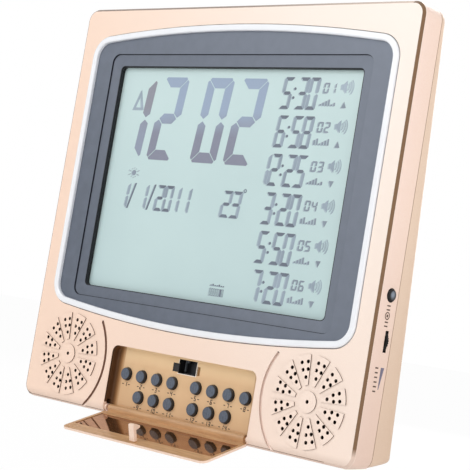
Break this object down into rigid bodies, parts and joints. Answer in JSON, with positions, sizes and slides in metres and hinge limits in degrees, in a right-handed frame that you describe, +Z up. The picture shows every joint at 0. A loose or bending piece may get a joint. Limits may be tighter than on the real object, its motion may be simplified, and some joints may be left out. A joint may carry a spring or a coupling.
{
  "type": "prayer time wall clock",
  "caption": "Flat rectangular wall clock with a large liquid crystal window, speaker grilles and a flap-down door over rubber keys.",
  "frame": {"origin": "midway between the two hanging keyholes, on the back surface of the case", "axes": "+X to the right as the dial is read, +Y from the front to the back, +Z up"},
  "size_m": [0.2361, 0.0601, 0.2345],
  "materials": {
    "case_plastic": "pale champagne paint",
    "ring_plastic": "silver white",
    "bezel_plastic": "dark grey, fine grain",
    "black_foam": "matte black",
    "lcd_cell": "reflective liquid crystal cell with segments",
    "guide_acrylic": "milky acrylic",
    "strip_rubber": "soft elastomer",
    "board_laminate": "solder mask",
    "screw_steel": "zinc plated",
    "epoxy": "black epoxy",
    "capacitor_can": "sleeved can",
    "tray_plastic": "tan",
    "catch_plastic": "black",
    "key_rubber": "dark grey silicone",
    "door_plastic": "brown amber, glossy inside",
    "pin_steel": "bright",
    "button_plastic": "dark grey",
    "wheel_plastic": "black",
    "cell_jacket": "printed film",
    "contact_steel": "nickel plated",
    "basket_steel": "black",
    "cone_paper": "stiff black paper",
    "magnet_steel": "steel yoke over a ferrite magnet"
  },
  "bodies": {
    "case": {"front_case": "case_plastic", "rear_case": "case_plastic", "trim_ring": "ring_plastic", "display_bezel": "bezel_plastic", "lcd_gasket": "black_foam", "lcd_glass": "lcd_cell", "light_guide": "guide_acrylic", "elastomer_strips": "strip_rubber", "display_board": "board_laminate", "display_screws": "screw_steel", "controller_chip": "epoxy", "capacitors": "capacitor_can", "control_tray": "tray_plastic", "tray_screws": "screw_steel", "latch_catch": "catch_plastic", "key_mat": "key_rubber", "key_board": "board_laminate", "key_board_screws": "screw_steel", "door_pins": "pin_steel", "stop_switch": "catch_plastic", "side_board": "board_laminate", "side_board_screws": "screw_steel", "volume_control": "catch_plastic", "speaker_screws": "screw_steel", "case_screws": "screw_steel", "battery_cells": "cell_jacket", "battery_contacts": "contact_steel", "speaker_frame_left": "basket_steel", "speaker_cone_left": "cone_paper", "speaker_magnet_left": "magnet_steel", "speaker_frame_right": "basket_steel", "speaker_cone_right": "cone_paper", "speaker_magnet_right": "magnet_steel"},
    "panel_door_body": {"panel_door": "door_plastic"},
    "stop_button_body": {"stop_button": "button_plastic"},
    "volume_wheel_body": {"volume_wheel": "wheel_plastic"},
    "battery_door_body": {"battery_door": "case_plastic"},
    "key_upper_1_body": {"key_upper_1": "key_rubber"},
    "key_upper_2_body": {"key_upper_2": "key_rubber"},
    "key_upper_3_body": {"key_upper_3": "key_rubber"},
    "key_upper_4_body": {"key_upper_4": "key_rubber"},
    "key_upper_5_body": {"key_upper_5": "key_rubber"},
    "key_upper_6_body": {"key_upper_6": "key_rubber"},
    "key_upper_7_body": {"key_upper_7": "key_rubber"},
    "key_upper_8_body": {"key_upper_8": "key_rubber"},
    "key_lower_1_body": {"key_lower_1": "key_rubber"},
    "key_lower_2_body": {"key_lower_2": "key_rubber"},
    "key_lower_3_body": {"key_lower_3": "key_rubber"},
    "key_lower_4_body": {"key_lower_4": "key_rubber"},
    "key_lower_5_body": {"key_lower_5": "key_rubber"},
    "key_lower_6_body": {"key_lower_6": "key_rubber"}
  },
  "joints": [
    {"name": "door_hinge", "type": "hinge", "parent": "case", "child": "panel_door_body", "pos_m": [0, -0.01721, -0.2061], "axis": [1, 0, 0], "range_deg": [-108.9, 0]},
    {"name": "stop_press", "type": "slide", "parent": "case", "child": "stop_button_body", "axis": [-1, 0, 0], "range_m": [0, 0.0007], "stiffness_N_per_m": 500},
    {"name": "volume_turn", "type": "hinge", "parent": "case", "child": "volume_wheel_body", "pos_m": [0.1115, -0.00927, -0.1475], "axis": [0, 1, 0], "range_deg": [-135, 135]},
    {"name": "battery_door_hinge", "type": "hinge", "parent": "case", "child": "battery_door_body", "pos_m": [-0.0405, 0.01101, -0.2004], "axis": [-1, 0, 0], "range_deg": [0, 95]},
    {"name": "key_upper_1_press", "type": "slide", "parent": "case", "child": "key_upper_1_body", "axis": [0, 1, 0], "range_m": [0, 0.0008], "stiffness_N_per_m": 300},
    {"name": "key_upper_2_press", "type": "slide", "parent": "case", "child": "key_upper_2_body", "axis": [0, 1, 0], "range_m": [0, 0.0008], "stiffness_N_per_m": 300},
    {"name": "key_upper_3_press", "type": "slide", "parent": "case", "child": "key_upper_3_body", "axis": [0, 1, 0], "range_m": [0, 0.0008], "stiffness_N_per_m": 300},
    {"name": "key_upper_4_press", "type": "slide", "parent": "case", "child": "key_upper_4_body", "axis": [0, 1, 0], "range_m": [0, 0.0008], "stiffness_N_per_m": 300},
    {"name": "key_upper_5_press", "type": "slide", "parent": "case", "child": "key_upper_5_body", "axis": [0, 1, 0], "range_m": [0, 0.0008], "stiffness_N_per_m": 300},
    {"name": "key_upper_6_press", "type": "slide", "parent": "case", "child": "key_upper_6_body", "axis": [0, 1, 0], "range_m": [0, 0.0008], "stiffness_N_per_m": 300},
    {"name": "key_upper_7_press", "type": "slide", "parent": "case", "child": "key_upper_7_body", "axis": [0, 1, 0], "range_m": [0, 0.0008], "stiffness_N_per_m": 300},
    {"name": "key_upper_8_press", "type": "slide", "parent": "case", "child": "key_upper_8_body", "axis": [0, 1, 0], "range_m": [0, 0.0008], "stiffness_N_per_m": 300},
    {"name": "key_lower_1_press", "type": "slide", "parent": "case", "child": "key_lower_1_body", "axis": [0, 1, 0], "range_m": [0, 0.0008], "stiffness_N_per_m": 300},
    {"name": "key_lower_2_press", "type": "slide", "parent": "case", "child": "key_lower_2_body", "axis": [0, 1, 0], "range_m": [0, 0.0008], "stiffness_N_per_m": 300},
    {"name": "key_lower_3_press", "type": "slide", "parent": "case", "child": "key_lower_3_body", "axis": [0, 1, 0], "range_m": [0, 0.0008], "stiffness_N_per_m": 300},
    {"name": "key_lower_4_press", "type": "slide", "parent": "case", "child": "key_lower_4_body", "axis": [0, 1, 0], "range_m": [0, 0.0008], "stiffness_N_per_m": 300},
    {"name": "key_lower_5_press", "type": "slide", "parent": "case", "child": "key_lower_5_body", "axis": [0, 1, 0], "range_m": [0, 0.0008], "stiffness_N_per_m": 300},
    {"name": "key_lower_6_press", "type": "slide", "parent": "case", "child": "key_lower_6_body", "axis": [0, 1, 0], "range_m": [0, 0.0008], "stiffness_N_per_m": 300}
  ]
}
